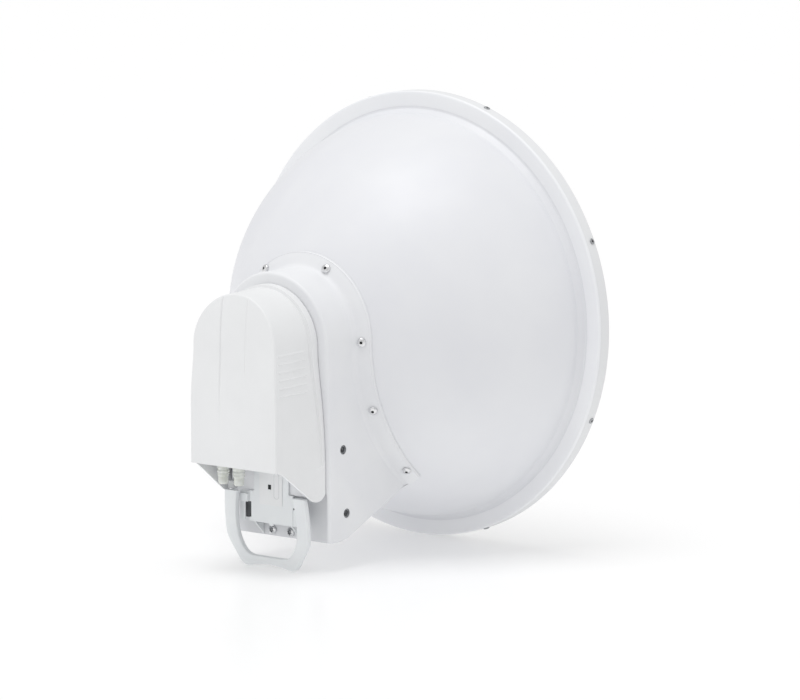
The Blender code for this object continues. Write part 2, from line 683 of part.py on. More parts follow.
def add_carrier(parts, parent, cutters, material):
    """The slide that carries the radio: a tongue, a wider foot with a thumb tab, and side ribs."""
    half, foot = TONGUE_HALF_WIDTH, CARRIER_HALF_WIDTH
    tab = arc((0.0, CARRIER_BOTTOM), CARRIER_TAB_RADIUS, 0, -180, 9)
    outline = [(half, CARRIER_TOP), (half, CARRIER_SHOULDER), (foot, CARRIER_SHOULDER), (foot, CARRIER_BOTTOM)]
    outline += tab
    outline += [(-foot, CARRIER_BOTTOM), (-foot, CARRIER_SHOULDER), (-half, CARRIER_SHOULDER), (-half, CARRIER_TOP)]
    mesh = prism_mesh("carrier_plate", outline, (CARRIER_FACE, CARRIER_FACE + CARRIER_THICKNESS))
    plate = add_part("carrier_plate", mesh, material, parts, parent)
    back = BACK_PLATE_FACE - GAP
    for side, word in ((1, "right"), (-1, "left")):
        top, low = CARRIER_SHOULDER - 0.0010, CARRIER_BOTTOM + 0.0008
        profile = [(CARRIER_FACE + 0.0015, top), (CARRIER_FACE + 0.0015, low), (CARRIER_FACE + 0.0040, low),
                   (back, CARRIER_BOTTOM - 0.0140), (back, top)]
        x = side * (foot - CARRIER_RIB / 2 - 0.0004)
        rib_mesh = prism_mesh("carrier_rib", profile, (x - CARRIER_RIB / 2, x + CARRIER_RIB / 2), along="X")
        join_meshes(plate, bpy.data.objects.new(f"carrier_rib_{word}", rib_mesh), "UNION", cutters)


def add_radio(parts, parent, materials):
    """The radio, the shelf under it and what hangs there."""
    white, grey, clear = materials
    behind = BACK_PLATE_FACE - GAP
    base = box_mesh("radio_base", (-BASE_HALF_WIDTH, CARRIER_FACE + CARRIER_THICKNESS + GAP, CARRIER_SHOULDER + GAP),
                    (BASE_HALF_WIDTH, behind, BASE_TOP), bevel=0.001)
    add_part("radio_base", base, white, parts, parent)

    shelf = box_mesh("radio_shelf", (-BULKHEAD_HALF_WIDTH, BULKHEAD_Y[0], BULKHEAD_Z[0]),
                     (BULKHEAD_HALF_WIDTH, CARRIER_FACE - GAP, BULKHEAD_Z[1]), bevel=0.001)
    add_part("radio_shelf", shelf, white, parts, parent)

    width, deep, tall = RADIO_SIZE
    bottom = BULKHEAD_Z[1] + GAP
    unit = box_mesh("radio_unit", (-width / 2, CARRIER_FACE - GAP - deep, bottom),
                    (width / 2, CARRIER_FACE - GAP, bottom + tall), bevel=0.003)
    add_part("radio_unit", unit, grey, parts, parent)

    label = box_mesh("label_plate", (-LABEL_HALF_WIDTH, CARRIER_FACE - GAP - LABEL_THICKNESS, LABEL_Z[0]),
                     (LABEL_HALF_WIDTH, CARRIER_FACE - GAP, LABEL_Z[1]), bevel=0.0004)
    add_part("label_plate", label, white, parts, parent)

    length = BULKHEAD_Z[0] - GAP - BOOT_BOTTOM
    profile = [(0.0, 0.0), (BOOT_RADIUS * 0.80, 0.0), (BOOT_RADIUS * 0.86, length * 0.12),
               (BOOT_RADIUS * 0.86, length * 0.30), (BOOT_RADIUS, length * 0.38),
               (BOOT_RADIUS, length), (0.0, length)]
    boot = turned_mesh("connector_boot", profile, closed=False, steps=20)
    for number, (x, y) in enumerate(BOOT_CENTRES, 1):
        item = add_part(f"connector_boot_{number}", boot, clear, parts, parent)
        item.location = (x, y, BOOT_BOTTOM)

    size, centre = Vector(PORT_TAB_SIZE), Vector(PORT_TAB_CENTRE)
    centre.y = CARRIER_FACE + CARRIER_THICKNESS - size.y / 2
    tab = box_mesh("port_tab", centre - size / 2, centre + size / 2, bevel=0.001)
    add_part("port_tab", tab, grey, parts, parent)


def handle_outline():
    """Half of the handle's outer and inner outline, as (x, z) from the top down."""
    outer = [(0.0738, HANDLE_TOP), (0.0757, -0.2340), (0.0762, -0.2480), (0.0762, -0.2700), (0.0750, -0.2820),
             (0.0712, -0.2905), (0.0590, -0.3090), (0.0545, -0.3165), (0.0505, -0.3212),
             (0.0450, -0.3242), (0.0380, -0.3248), (0.0250, -0.3218), (0.0, -0.3194)]
    inner = [(0.0, -0.3088), (0.0300, -0.3087), (0.0380, -0.3055), (0.0440, -0.3010), (0.0490, -0.2930),
             (0.0535, -0.2820), (0.0556, -0.2680), (0.0558, -0.2500), (0.0540, -0.2340),
             (0.0515, HANDLE_TOP)]
    return outer, inner


def add_handle(parts, parent, cutters, material):
    """The U-shaped handle that pulls the radio out, with a web from each arm to the slide."""
    outer, inner = handle_outline()
    outline = outer[:-1] + [(0.0, outer[-1][1])] + [(-x, z) for x, z in outer[-2::-1]]
    outline += [(-x, z) for x, z in inner[::-1]][:-1] + [(0.0, inner[0][1])] + inner[1:]
    mesh = prism_mesh("pull_handle", outline, (HANDLE_FRONT, HANDLE_FRONT + HANDLE_THICKNESS))
    lean = Matrix.Identity(4)
    lean[1][2], lean[1][3] = -HANDLE_LEAN, HANDLE_LEAN * HANDLE_LEVEL
    mesh.transform(lean)
    item = add_part("pull_handle", mesh, material, parts, parent)
    inner_x = CARRIER_HALF_WIDTH + GAP
    for side, word in ((1, "right"), (-1, "left")):
        ends = sorted((side * inner_x, side * HANDLE_WEB_X))
        web = box_mesh("handle_web", (ends[0], HANDLE_WEB_Y[0], HANDLE_WEB_Z[0]),
                       (ends[1], HANDLE_WEB_Y[1], HANDLE_WEB_Z[1]))
        join_meshes(item, bpy.data.objects.new(f"handle_web_{word}", web), "UNION", cutters)
    bevel = item.modifiers.new("edges", "BEVEL")
    bevel.width = HANDLE_EDGE_ROUND
    bevel.segments = 2
    bevel.limit_method = "ANGLE"
    bevel.angle_limit = math.radians(60)
    bevel.use_clamp_overlap = True


def build():
    """Build the whole antenna."""
    clear_scene()
    scene = bpy.context.scene
    parts = bpy.data.collections.new("dish_antenna")
    cutters = bpy.data.collections.new("cutters")
    scene.collection.children.link(parts)
    scene.collection.children.link(cutters)

    white = make_material("painted_white", (0.80, 0.81, 0.82), 0.42)
    plastic = make_material("moulded_white", (0.76, 0.77, 0.78), 0.50)
    grey = make_material("pale_grey_plastic", (0.62, 0.63, 0.64), 0.50)
    clear = make_material("frosted_boot", (0.60, 0.62, 0.61), 0.45)
    steel = make_material("stainless_steel", (0.55, 0.55, 0.56), 0.30, 1.0)

    frame = bpy.data.objects.new("antenna_frame", None)
    parts.objects.link(frame)
    frame.location = -Vector(MOUNT_POINT)

    add_reflector(parts, frame, white)
    add_radome(parts, frame, plastic)
    add_housing(parts, frame, cutters, plastic)
    add_inserts(parts, frame, steel)
    add_floor(parts, frame, plastic)
    add_back_plate(parts, frame, plastic)
    add_cover(parts, frame, plastic)
    add_carrier(parts, frame, cutters, plastic)
    add_radio(parts, frame, (plastic, grey, clear))
    add_handle(parts, frame, cutters, plastic)
    add_screws(parts, frame, steel)


build()
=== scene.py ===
"""A 650 mm point-to-point dish antenna, seen from behind, in a white studio.

Lengths are in metres. The surfaces are worked out about the dish's own axis: +Y is the way
the dish looks, +X is to its right, +Z is up, and zero is the middle of the rim's front edge.
ORIGIN then brings them to where the model stands.
"""
import math

import bmesh
import bpy
import numpy as np
from mathutils import Matrix, Vector


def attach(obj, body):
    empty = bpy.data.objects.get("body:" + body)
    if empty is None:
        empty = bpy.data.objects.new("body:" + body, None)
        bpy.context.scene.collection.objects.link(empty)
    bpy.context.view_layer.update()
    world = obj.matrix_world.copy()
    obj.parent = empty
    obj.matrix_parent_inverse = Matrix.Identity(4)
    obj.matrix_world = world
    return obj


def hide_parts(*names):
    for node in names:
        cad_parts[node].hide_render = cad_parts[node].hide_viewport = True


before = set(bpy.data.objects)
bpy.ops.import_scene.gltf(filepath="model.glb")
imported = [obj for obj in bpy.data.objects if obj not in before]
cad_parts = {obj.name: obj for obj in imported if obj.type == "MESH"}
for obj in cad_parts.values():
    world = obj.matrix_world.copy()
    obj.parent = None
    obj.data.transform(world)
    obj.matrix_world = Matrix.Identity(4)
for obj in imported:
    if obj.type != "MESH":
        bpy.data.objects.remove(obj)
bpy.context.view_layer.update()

# Where the dish's own zero point, the middle of the rim's front edge, lies in the model
ORIGIN = np.array((-0.0940, 0.3138, 0.1976))

# Rim, radome and bowl
RIM_RADIUS = 0.3250
RIM_DEPTH = 0.0250
RIM_EDGE = 0.0030            # radius of the ring's outer edge
RIM_FRONT = -0.0210          # y of the flange's front face
RIM_SCREW_Y = -0.0085
COLLAR_RADIUS = 0.3207
COLLAR_FRONT = -0.0060
COLLAR_WALL = 0.0040
RADOME_SKIN = 0.0040
RADOME_RISE = 0.0120
RADOME_CORNER = 0.0040
BOWL_RADIUS = 0.2957
BOWL_DEPTH = 0.3134
BOWL_BASE = -0.0100
BOWL_POWERS = (1.67, 1.84)
BOWL_FOOT_Y = -0.0420
BOWL_FILLET = 0.0100
BOWL_SKIN = 0.0033
DISH_STEPS = 288             # steps round the axis in the bowl, the ring and the radome

# Housing
HALF_WIDTH = 0.0980
SIDE_INSET = 0.0040
SIDE_INSET_DEPTH = 0.1400
HOUSING_BACK = -0.3580
HOUSING_WALL = 0.0040
HOUSING_EDGE = 0.0050        # radius of the back rim's rounded edge
HOUSING_FILLET = 0.0065      # radius of the hollow between wall and flange
FLANGE_REACH = 0.1195
FLANGE_SKIN = 0.0033
FLANGE_LIFT = 0.0140         # how much higher the flange ends than the wall's lower edge
BOLT_HOLES = ((-0.3175, -0.1517), (-0.3101, -0.2435))
BOLT_WALL = HALF_WIDTH - SIDE_INSET
BOLT_RADIUS = 0.0068

# Cover
COVER_RADIUS = 0.0755
COVER_LOW = -0.1705
COVER_WALL = 0.0030
COVER_EDGE = 0.0028          # radius of the edge between the face and the sides
LUG_CENTRE = (-0.3643, -0.2045)
LUG_RADIUS = 0.0170
LUG_START = -0.3745
COVER_GAP = 0.0007           # shadow line between the cover and the housing's back rim
RIDGE_HEIGHTS = (-0.0068, -0.0183, -0.0295, -0.0410, -0.0524, -0.0636)
RIDGE_START, RIDGE_END = -0.4400, -0.3745
FACE_GROOVES = (-0.0245, 0.0215)

# Slide, handle and small parts
SLIDE_FACE = -0.3645
HANDLE_FRONT = -0.3772
HANDLE_LEVEL = -0.2500
HANDLE_LEAN = 0.1000
HANDLE_THICKNESS = 0.0090
SLOT_HIGH, SLOT_LOW = -0.2336, -0.2559    # square slot between the slide and its left wing
SLOT_INNER, SLOT_OUTER = 0.0370, 0.0484
BOOT_LENGTH = 0.0362


def srgb(value):
    """Linear colour of an sRGB hex value."""
    channels = np.array([int(value[i:i + 2], 16) for i in (0, 2, 4)]) / 255.0
    linear = np.where(channels <= 0.04045, channels / 12.92, ((channels + 0.055) / 1.055) ** 2.4)
    return (*linear.tolist(), 1.0)


def node(tree, kind, settings=None, inputs=None):
    """Add a node with its settings; an input is a value, or a socket that is linked to it."""
    added = tree.nodes.new(kind)
    for key, value in (settings or {}).items():
        setattr(added, key, value)
    for key, value in (inputs or {}).items():
        if isinstance(value, bpy.types.NodeSocket):
            tree.links.new(value, added.inputs[key])
        else:
            added.inputs[key].default_value = value
    return added


def finish(name, pale, deep, roughness, grain, relief, cloud=0.09, metallic=0.0, **constants):
    """A surface whose tone and gloss drift a little over cloud metres, with a grain.

    pale and deep are the two ends of its colour, grain is the width of one bump and relief
    its height, both in metres. Other constants go to the shader's sockets by name, with
    underscores for the spaces.
    """
    material = bpy.data.materials.new(name)
    material.use_nodes = True
    tree = material.node_tree
    shader = tree.nodes["Principled BSDF"]
    place = node(tree, "ShaderNodeTexCoord").outputs["Object"]
    drift = node(tree, "ShaderNodeTexNoise", None,
                 {"Vector": place, "Scale": 1.0 / cloud, "Detail": 3.0, "Roughness": 0.55})
    spread = node(tree, "ShaderNodeMapRange", None,
                  {0: drift.outputs["Fac"], 1: 0.35, 2: 0.65, 3: 0.0, 4: 1.0})
    tone = node(tree, "ShaderNodeMix", {"data_type": "RGBA"},
                {0: spread.outputs[0], 6: srgb(deep), 7: srgb(pale)})
    gloss = node(tree, "ShaderNodeMapRange", None,
                 {0: drift.outputs["Fac"], 1: 0.3, 2: 0.7, 3: roughness + 0.05,
                  4: roughness - 0.05})
    bumps = node(tree, "ShaderNodeTexNoise", None,
                 {"Vector": place, "Scale": 1.0 / grain, "Detail": 2.0, "Roughness": 0.5})
    relief_node = node(tree, "ShaderNodeBump", None,
                       {"Height": bumps.outputs["Fac"], "Distance": relief, "Strength": 1.0})
    tree.links.new(tone.outputs[2], shader.inputs["Base Color"])
    tree.links.new(gloss.outputs[0], shader.inputs["Roughness"])
    tree.links.new(relief_node.outputs[0], shader.inputs["Normal"])
    shader.inputs["Metallic"].default_value = metallic
    for key, value in constants.items():
        shader.inputs[key.replace("_", " ")].default_value = value
    return material


# Polyester powder coat on spun aluminium: satin, with a faint orange peel. Its real waves are
# about 1.5 mm wide, and are drawn at 3 mm to show.
powder_coat = finish("white_powder_coat", "E6E7EA", "E2E3E7", 0.42, 0.0030, 0.000012, cloud=0.16)
# The ring's coat is painted a shade whiter than the bowl's: painted light, which brightens the
# ring's flange where the bowl shades it
painted_light_ring_coat = finish("ring_coat_painted_lighter", "F1F2F4", "EDEEF1", 0.40, 0.0030, 0.000010, cloud=0.16)
# ASA sheet, vacuum formed: matt and even
radome_sheet = finish("vacuum_formed_asa", "E6E7E8", "E3E4E6", 0.55, 0.0022, 0.000015, cloud=0.20)
# ASA, injection moulded in a spark-eroded tool: a fine matt grain, 0.5 mm in the tool and
# drawn at 1.8 mm to show
moulded_asa = finish("moulded_asa_white", "E9EAEC", "E5E6E9", 0.50, 0.0018, 0.000018)
# The cover's ASA comes from a finer tool, so it is a little smoother
cover_asa = finish("cover_asa_white", "E9EAEB", "E6E7E8", 0.46, 0.0016, 0.000012)
# Glass-filled nylon of the handle and slide: a denser, slightly cooler white with a low sheen
handle_nylon = finish("handle_nylon_white", "EAEDEE", "E4E7E9", 0.40, 0.0020, 0.000016)
# Cast zinc body of the radio, wet painted in pale grey
radio_paint = finish("radio_pale_grey_paint", "DADCDD", "D4D6D7", 0.45, 0.0016, 0.000014)
# Matt polyester label film: paper white, flat
label_film = finish("label_film_white", "EBECED", "E8E9EA", 0.36, 0.0040, 0.000004)
# Silicone of the connector boots: milky, soft sheen, light goes into it
boot_silicone = finish("boot_silicone", "E6E8E4", "D2D5CE", 0.38, 0.0030, 0.000020, cloud=0.012,
                       Subsurface_Weight=0.25, Subsurface_Radius=(0.006, 0.006, 0.005), IOR=1.41)
# Stainless steel button heads, cold formed and tumbled: soft metal gloss with faint handling
# marks
stainless = finish("tumbled_stainless", "ECECED", "D3D4D6", 0.27, 0.0012, 0.000010, cloud=0.004,
                   metallic=1.0)
# The rim's screws have weathered darker
rim_steel = finish("weathered_stainless", "B6B8BA", "96989B", 0.33, 0.0012, 0.000012, cloud=0.003,
                   metallic=1.0)
# Near black and half metallic: painted shade in the drive recesses and in the small holes and
# sockets
recess_painted_shade = finish("recess_painted_shade_dark", "2E2F31", "1B1C1E", 0.55, 0.0010, 0.000010, cloud=0.003,
                      metallic=0.6)
# Zinc-nickel plated steel bushes in the side holes: dull grey
bush_plate = finish("bush_zinc_nickel", "A2A4A7", "7E8083", 0.45, 0.0010, 0.000012, cloud=0.004,
                    metallic=0.7)
# Dark grey and matt: painted shade in the unlit inside of the slide's slot
slot_painted_shade = finish("slot_shade_grey", "5C5E61", "47494B", 0.75, 0.0015, 0.000020, cloud=0.01)


def ease(share):
    """Smooth step from 0 to 1: three squares less two cubes."""
    share = np.clip(share, 0.0, 1.0)
    return share * share * (3.0 - 2.0 * share)


def bowl_y(radius, out=0.0):
    """Y of the bowl's back at a distance from the axis: a superellipse with two powers."""
    share = np.clip(np.asarray(radius, float) / (BOWL_RADIUS + out), 0.0, 1.0) ** BOWL_POWERS[0]
    return BOWL_BASE - (BOWL_DEPTH + out) * (1.0 - share) ** (1.0 / BOWL_POWERS[1])


def bowl_slope(radius):
    """Rise of the bowl's back per unit of radius, by a central difference."""
    step = 1e-5
    return (bowl_y(radius + step) - bowl_y(radius - step)) / (2 * step)


def housing_half_width(z):
    """The arch's radius, less an eased inset below the axis."""
    return HALF_WIDTH - SIDE_INSET * ease(-z / SIDE_INSET_DEPTH)


def housing_back(z):
    """Y of the back rim: a slight lean over the arch, and an eased step forward below."""
    return HOUSING_BACK - 0.03 * np.maximum(z, 0.0) + 0.011 * ease(-z / 0.165)


def housing_bottom(y):
    """Lower edge: the upper envelope of a rising and a falling line, softened by a root."""
    rise = -0.2832 + 0.4575 * (y + 0.3150)
    heel = -0.2850 - 0.2100 * (y + 0.3360)
    return 0.5 * (rise + heel + np.sqrt((rise - heel) ** 2 + 0.0060 ** 2))


def how_low(z):
    """0 from the axis up, 1 from the bottom of the cover's face down."""
    return np.clip(z / COVER_LOW, 0.0, 1.0)


def cover_face(z):
    """Y of the cover's face: a parabola over the arch, an eased bulge below."""
    return -0.4445 + 0.0075 * (np.maximum(z, 0.0) / COVER_RADIUS) ** 2 - 0.0025 * ease(-z / 0.07)


def cover_back(z):
    """Y of the cover's back edge, a shadow line short of the housing's rim."""
    return housing_back(z) - COVER_GAP


def lip_start(z):
    """Y at which the lip starts: 15 mm before the rim at the axis, 7 mm at the bottom."""
    return housing_back(z) - 0.0003 - 0.0150 + 0.0080 * how_low(z)


def cover_half_width(y, z):
    """Half width of the cover: it widens downwards and, along a slope, towards the dish."""
    spread = 0.032 + 0.026 * how_low(z)
    return COVER_RADIUS + 0.0035 * ease(-z / 0.09) + spread * np.maximum(y - cover_face(z), 0.0)


def cover_bottom(y):
    """Lower edge of the cover's sides: a bent line, then an arc round the lug."""
    line = np.interp(y, (-0.4470, -0.4410, -0.4370, -0.4300, LUG_START),
                     (-0.1705, -0.1710, -0.1725, -0.1766, -0.2181))
    arc = LUG_CENTRE[1] - np.sqrt(np.maximum(LUG_RADIUS ** 2 - (y - LUG_CENTRE[0]) ** 2, 0.0))
    return np.where(y <= LUG_START, line, arc)


def grid_faces(rows, columns, wrap_rows=False, wrap_columns=False):
    """Quads between the neighbours on a grid of points that is counted row by row."""
    i, j = np.meshgrid(np.arange(rows if wrap_rows else rows - 1),
                       np.arange(columns if wrap_columns else columns - 1), indexing="ij")
    up, on = (i + 1) % rows, (j + 1) % columns
    return np.stack([i * columns + j, i * columns + on, up * columns + on, up * columns + j],
                    -1).reshape(-1, 4)


def repeat_faces(faces, copies):
    """The faces of one grid, once for each of its copies."""
    count = copies[0].shape[0] * copies[0].shape[1]
    return np.concatenate([faces + k * count for k in range(len(copies))])


def wall_faces(rows, columns):
    """Quads of two grids, one on each face of a wall, and of the border between them."""
    count = rows * columns
    faces = grid_faces(rows, columns)
    front = np.arange(count).reshape(rows, columns)
    loop = np.concatenate([front[0, :], front[1:, -1], front[-1, -2::-1], front[-2:0:-1, 0]])
    on = np.roll(loop, -1)
    border = np.stack([loop, loop + count, on + count, on], -1)
    return np.concatenate([faces, faces[:, ::-1] + count, border])


def add_piece(name, points, faces, materials, replaced=(), indices=None, angle=32):
    """Make a mesh of points about the dish's axis into a piece of the model.

    Doubled points are joined and the faces turned outwards. indices gives each face's
    material, edges sharper than angle in degrees stay sharp, and replaced names the plain
    pieces whose place it takes.
    """
    mesh = bpy.data.meshes.new(name)
    rows = faces.tolist() if isinstance(faces, np.ndarray) else faces
    mesh.from_pydata((np.asarray(points).reshape(-1, 3) + ORIGIN).tolist(), [], rows)
    for material in materials:
        mesh.materials.append(material)
    if indices is not None:
        mesh.polygons.foreach_set("material_index", np.asarray(indices, np.int32))
    work = bmesh.new()
    work.from_mesh(mesh)
    bmesh.ops.remove_doubles(work, verts=work.verts, dist=0.00001)
    bmesh.ops.dissolve_degenerate(work, edges=work.edges, dist=0.000005)
    bmesh.ops.recalc_face_normals(work, faces=work.faces)
    work.to_mesh(mesh)
    work.free()
    mesh.shade_smooth()
    mesh.set_sharp_from_angle(angle=math.radians(angle))
    piece = bpy.data.objects.new(name, mesh)
    bpy.context.scene.collection.objects.link(piece)
    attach(piece, "root")
    if replaced:
        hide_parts(*replaced)
    return piece


def add_bevel(piece, width, segments=3):
    """Round a piece's sharp edges."""
    bevel = piece.modifiers.new("edges", "BEVEL")
    bevel.width = width
    bevel.segments = segments
    bevel.limit_method = "ANGLE"
    bevel.angle_limit = math.radians(40)
    bevel.harden_normals = False


def turned(profile, steps):
    """A profile of (radius, y) points carried round the dish's axis, one row for each angle."""
    angle = np.linspace(0.0, 2 * math.pi, steps, endpoint=False)[:, None]
    radius, y = np.asarray(profile, float).T
    return np.stack([radius * np.cos(angle), y + 0 * angle, radius * np.sin(angle)], -1)


def bend(centre, radius, start, end, count):
    """Points of an arc between two angles in degrees."""
    angle = np.radians(np.linspace(start, end, count))
    return list(zip(centre[0] + radius * np.cos(angle), centre[1] + radius * np.sin(angle)))


def add_reflector():
    """Bowl and ring: a superellipse, an arc into the flange, and a rounded outer edge."""
    share = (BOWL_BASE - BOWL_FOOT_Y) / BOWL_DEPTH
    foot = BOWL_RADIUS * (1 - share ** BOWL_POWERS[1]) ** (1 / BOWL_POWERS[0])
    seam = foot + BOWL_FILLET
    turn = np.sin(np.linspace(0.0, math.pi / 2, 90)) * foot
    back = list(zip(turn[:-1], bowl_y(turn[:-1])))
    back += bend((seam, -RIM_DEPTH - BOWL_FILLET), BOWL_FILLET, 180, 90, 12)
    inside = np.append(turn[:2:-3], 0.0)
    front = list(zip(inside * 0.99, bowl_y(inside) + BOWL_SKIN))
    bowl = turned(back + [(seam, RIM_FRONT)] + front, DISH_STEPS)
    add_piece("dish_bowl", bowl, grid_faces(*bowl.shape[:2], wrap_rows=True), [powder_coat],
              ["reflector_shell"])

    edge = RIM_RADIUS - RIM_EDGE
    inner_edge = seam + 0.0001
    collar_inside = COLLAR_RADIUS - COLLAR_WALL
    ring = [(inner_edge, -RIM_DEPTH), (seam + 0.008, -RIM_DEPTH), (edge - 0.004, -RIM_DEPTH)]
    ring += bend((edge, -RIM_DEPTH + RIM_EDGE), RIM_EDGE, -90, 0, 9)
    ring += [(RIM_RADIUS, RIM_FRONT - 0.0003), (RIM_RADIUS - 0.0003, RIM_FRONT),
             (COLLAR_RADIUS, RIM_FRONT), (COLLAR_RADIUS, COLLAR_FRONT),
             (collar_inside, COLLAR_FRONT), (collar_inside, RIM_FRONT), (inner_edge, RIM_FRONT)]
    ring = turned(ring, DISH_STEPS)
    # The ring takes the whiter coat: painted light on its flange
    add_piece("dish_ring", ring, grid_faces(*ring.shape[:2], wrap_rows=True, wrap_columns=True),
              [painted_light_ring_coat], ["rim_ring"])


def add_radome():
    """A parabolic cap, a rounded corner and a skirt over the ring's collar."""
    edge = RIM_RADIUS - RADOME_CORNER
    inside = RIM_RADIUS - RADOME_SKIN
    skirt_end = RIM_FRONT + 0.0002

    def dome(r):
        return RADOME_RISE * (1.0 - (r / RIM_RADIUS) ** 2)

    radius = np.sin(np.linspace(0.0, math.pi / 2, 40)) * edge
    outer = list(zip(radius, dome(radius)))
    outer += bend((edge, dome(edge) - RADOME_CORNER), RADOME_CORNER, 90, 0, 10)[1:]
    skirt = [(RIM_RADIUS, skirt_end + 0.0003), (RIM_RADIUS - 0.0003, skirt_end),
             (inside, skirt_end), (inside, -RADOME_SKIN)]
    inner = list(zip(radius[::-3], dome(radius[::-3]) - RADOME_SKIN))
    cap = turned(outer + skirt + inner, DISH_STEPS)
    add_piece("front_radome", cap, grid_faces(*cap.shape[:2], wrap_rows=True), [radome_sheet],
              ["radome"])


def button_head(radius, height, wide, steps=48):
    """A dome over a flat seat, with a six-lobed recess that is wide times as large.

    The second result is the number of columns before the recess starts.
    """
    lip = height * 0.25
    dome = np.radians(np.linspace(0, 68, 9))
    profile = [(0.0, 0.0), (radius * 0.97, 0.0), (radius, 0.0002)]
    profile += list(zip(radius * np.cos(dome), lip + (height - lip) * np.sin(dome) ** 0.8))
    recess = radius * wide
    profile = profile[:1] + [(a, b) for a, b in profile if a > recess * 1.2]
    first = len(profile)
    profile += [(recess * 1.12, height * 0.97), (recess, height * 0.90),
                (recess * 0.94, height * 0.50), (recess * 0.5, height * 0.42),
                (0.0, height * 0.40)]
    angle = np.linspace(0.0, 2 * math.pi, steps, endpoint=False)[:, None]
    across, up = np.array(profile).T
    lobed = (np.arange(len(profile)) >= first) & (across > 0.0)
    across = across * np.where(lobed, 1.0 + 0.15 * np.cos(6 * angle), 1.0)
    grid = np.stack([across * np.cos(angle), across * np.sin(angle), up + 0 * angle], -1)
    return grid, first


def add_screws(name, spots, radius, height, wide, metals, replaced):
    """One button head at each (place, direction), turned so that its axis is the direction."""
    grid, first = button_head(radius, height, wide)
    place, out = (np.array(part, float) for part in zip(*spots))
    # Any direction that no screw points in fixes how its lobes are turned
    side = np.cross(out, (0.31, 0.52, 0.79))
    side /= np.linalg.norm(side, axis=1)[:, None]
    turn = np.stack([side, np.cross(out, side), out], 1)
    points = np.einsum("rck,nkj->nrcj", grid, turn) + place[:, None, None, :]
    rows, columns = grid.shape[:2]
    faces = grid_faces(rows, columns, wrap_rows=True)
    # Faces inside the drive recess take the second material: painted shade on the rim's and the
    # flange's screws
    dark = np.tile(np.arange(columns - 1) >= first + 1, rows)
    shift = np.arange(len(spots))[:, None, None] * rows * columns
    faces = (faces[None] + shift).reshape(-1, 4)
    add_piece(name, points, faces, metals, replaced,
              indices=np.tile(dark, len(spots)).astype(int), angle=38)


def add_all_screws():
    """Round the rim, along the housing's flange, and in the plate below the radio."""
    spots = []
    for degrees in (23.4, 70.5, 109.5, 156.6, 203.4, 250.5, 289.5, 336.6):
        turn = math.radians(degrees)
        out = np.array((math.cos(turn), 0.0, math.sin(turn)))
        spots.append((out * (RIM_RADIUS + 0.0001) + (0.0, RIM_SCREW_Y, 0.0), out))
    add_screws("rim_screws", spots, 0.0045, 0.0017, 0.36, [rim_steel, recess_painted_shade],
               [f"rim_screw_{i}" for i in range(1, 9)])

    # Places on the flange: by radius and degrees on the arch, by x and z on the sides
    arch = ((0.1068, 0), (0.1068, 66), (0.1110, 128), (0.1068, 180))
    flat = [(r * math.cos(math.radians(a)), r * math.sin(math.radians(a))) for r, a in arch]
    flat += [(side * x, z) for x, z in ((0.1077, -0.0988), (0.1105, -0.1928)) for side in (1, -1)]
    seat = FLANGE_SKIN + 0.0003
    spots = []
    for x, z in flat:
        radius = math.hypot(x, z)
        slope = float(bowl_slope(radius))
        out = np.array((slope * x / radius, -1.0, slope * z / radius))
        out /= np.linalg.norm(out)
        spots.append((np.array((x, float(bowl_y(radius)), z)) + out * seat, out))
    add_screws("flange_screws", spots, 0.0065, 0.0042, 0.30, [stainless, recess_painted_shade],
               [f"flange_screw_{i}" for i in range(1, 9)])

    to_back = np.array((0.0, -1.0, 0.0))
    spots = [(np.array((side * 0.0167, -0.3402, -0.2750)), to_back) for side in (-1, 1)]
    add_screws("plate_screws", spots, 0.0065, 0.0045, 0.50, [stainless, bush_plate],
               ["plate_screw_left", "plate_screw_right"])


def outline_rows(angle, shares):
    """Stations round a tombstone outline, as (side, share).

    side is 0 on the arch, where share is the angle, and -1 or 1 on the two sides, where
    share is the share of the way down.
    """
    side = np.concatenate([-np.ones(len(shares)), np.zeros(len(angle)), np.ones(len(shares))])
    share = np.concatenate([shares[::-1], angle, shares])
    return side, share


def housing_column(side, share, offset, rule, lift):
    """One line round the housing: offset out of its wall, with y from a rule of (x, z).

    On the sides z follows the lower edge at y, raised by lift, so the two are found by
    substitution.
    """
    arch = side == 0
    reach = HALF_WIDTH + offset(np.zeros_like(share))
    x, z = reach * np.cos(share), reach * np.sin(share)
    y = rule(x, z)
    y_side = np.full_like(share, HOUSING_BACK)
    for _ in range(45):
        z_side = share * (housing_bottom(y_side) + lift)
        x_side = side * (housing_half_width(z_side) + offset(z_side))
        y_side = rule(x_side, z_side)
    return np.stack([np.where(arch, x, x_side), np.where(arch, y, y_side),
                     np.where(arch, z, z_side)], -1)


